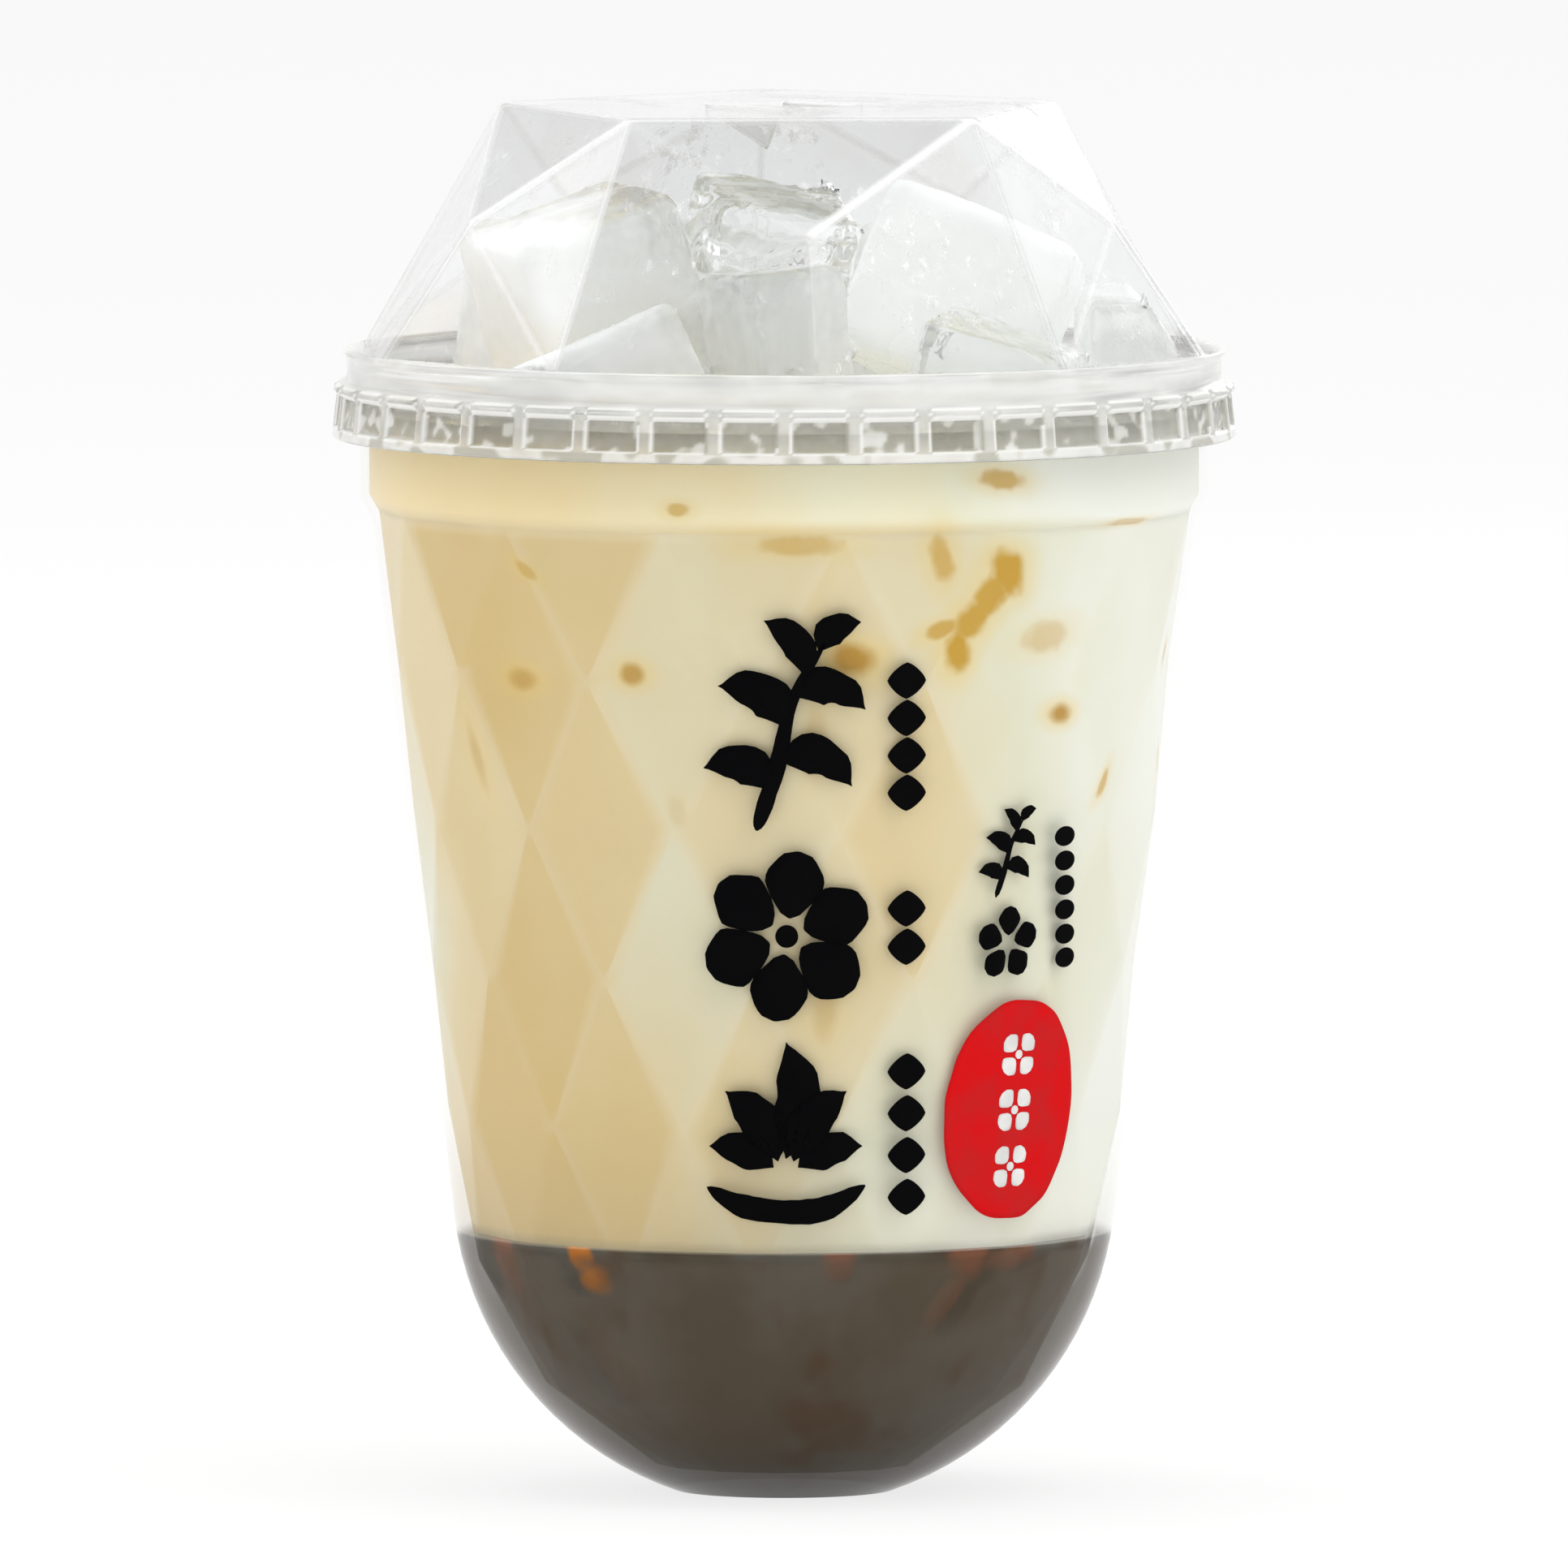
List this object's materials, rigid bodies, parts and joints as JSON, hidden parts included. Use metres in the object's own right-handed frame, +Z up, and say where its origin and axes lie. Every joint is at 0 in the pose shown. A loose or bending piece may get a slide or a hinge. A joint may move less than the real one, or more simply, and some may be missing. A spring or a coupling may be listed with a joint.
{
  "type": "cup of bubble tea",
  "caption": "Takeaway cup of iced brown-sugar milk tea: clear rounded cup with diamond facets, dark sugar layer below pale milk tea, ice and a clear faceted dome lid.",
  "frame": {"origin": "centre of the cup's flat base", "axes": "+Z up the cup towards the lid; the printed front faces -Y"},
  "size_m": [0.0988, 0.0986, 0.1521],
  "materials": {
    "cup_plastic": "clear moulded plastic, slightly hazy, smooth outside and diamond facets inside",
    "lid_plastic": "clear formed sheet with crisp facets",
    "milk_tea": "pale milk tea, opaque, tan on one side and whiter on the other, with brown-sugar streaks",
    "brown_sugar": "dark brown-sugar syrup with rust-coloured streaks",
    "ice": "clear ice, frosted in places and rounded by melting",
    "print_black": "plain black printed shapes",
    "print_red": "plain red printed oval",
    "print_white": "plain white printed dots"
  },
  "bodies": {
    "root": {"cup": "cup_plastic", "lid": "lid_plastic", "brown_sugar": "brown_sugar", "milk_tea": "milk_tea", "ice_left": "ice", "ice_right": "ice", "ice_middle": "ice", "ice_small": "ice", "ice_slab": "ice", "ice_grey": "ice", "ice_far_right": "ice", "ice_far_left": "ice", "ice_back_right": "ice", "ice_back": "ice", "ice_front": "ice"}
  },
  "joints": []
}
